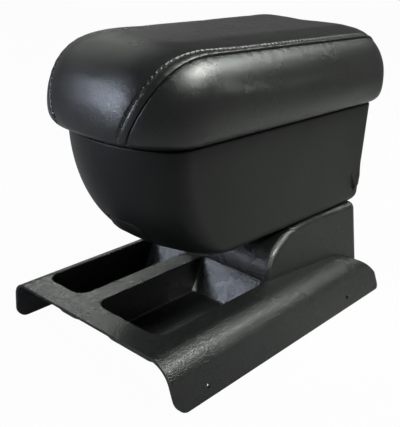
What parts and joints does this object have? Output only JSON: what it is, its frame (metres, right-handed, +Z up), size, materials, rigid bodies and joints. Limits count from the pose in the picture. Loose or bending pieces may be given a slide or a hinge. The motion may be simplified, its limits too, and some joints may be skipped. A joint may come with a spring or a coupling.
{
  "type": "car centre armrest",
  "caption": "Car centre armrest: formed plastic saddle with sunken trays and a rear pedestal, a vinyl-wrapped hull-shaped storage bin, and a padded lid hinged at the rear.",
  "frame": {"origin": "on the plane of the skirts' lower edges, under the middle of the object", "axes": "+Z up, +Y to the rear where the hinge is, +X to the side with the wide tray that the picture shows"},
  "size_m": [0.246, 0.3785, 0.3145],
  "materials": {
    "base_plastic": "fine grained black formed sheet",
    "zinc_steel": "zinc plated",
    "bin_vinyl": "black vinyl, soft sheen",
    "tub_plastic": "plain moulded",
    "felt": "short needle felt",
    "buffer_rubber": "plain",
    "hinge_metal": "black coated steel",
    "board_wood": "plain hardboard",
    "foam": "cut polyurethane foam",
    "lid_vinyl": "black vinyl, soft sheen"
  },
  "bodies": {
    "base": {"base_shell": "base_plastic", "pedestal_plate": "zinc_steel", "seat_washers": "zinc_steel", "seat_bolts": "zinc_steel", "seat_nuts": "zinc_steel", "bin_wrap": "bin_vinyl", "bin_tub": "tub_plastic", "bin_lining": "felt", "rim_buffers": "buffer_rubber", "hinge_leaf_bin": "hinge_metal", "hinge_pin": "zinc_steel", "hinge_screws_bin": "zinc_steel"},
    "lid": {"lid_board": "board_wood", "lid_foam": "foam", "lid_cover_centre": "lid_vinyl", "lid_cover_left": "lid_vinyl", "lid_cover_right": "lid_vinyl", "lid_lining": "felt", "hinge_leaf_lid": "hinge_metal", "hinge_screws_lid": "zinc_steel"}
  },
  "joints": [
    {"name": "lid_hinge", "type": "hinge", "parent": "base", "child": "lid", "pos_m": [0, 0.1847, 0.22865], "axis": [-1, 0, 0], "range_deg": [0, 100]}
  ]
}
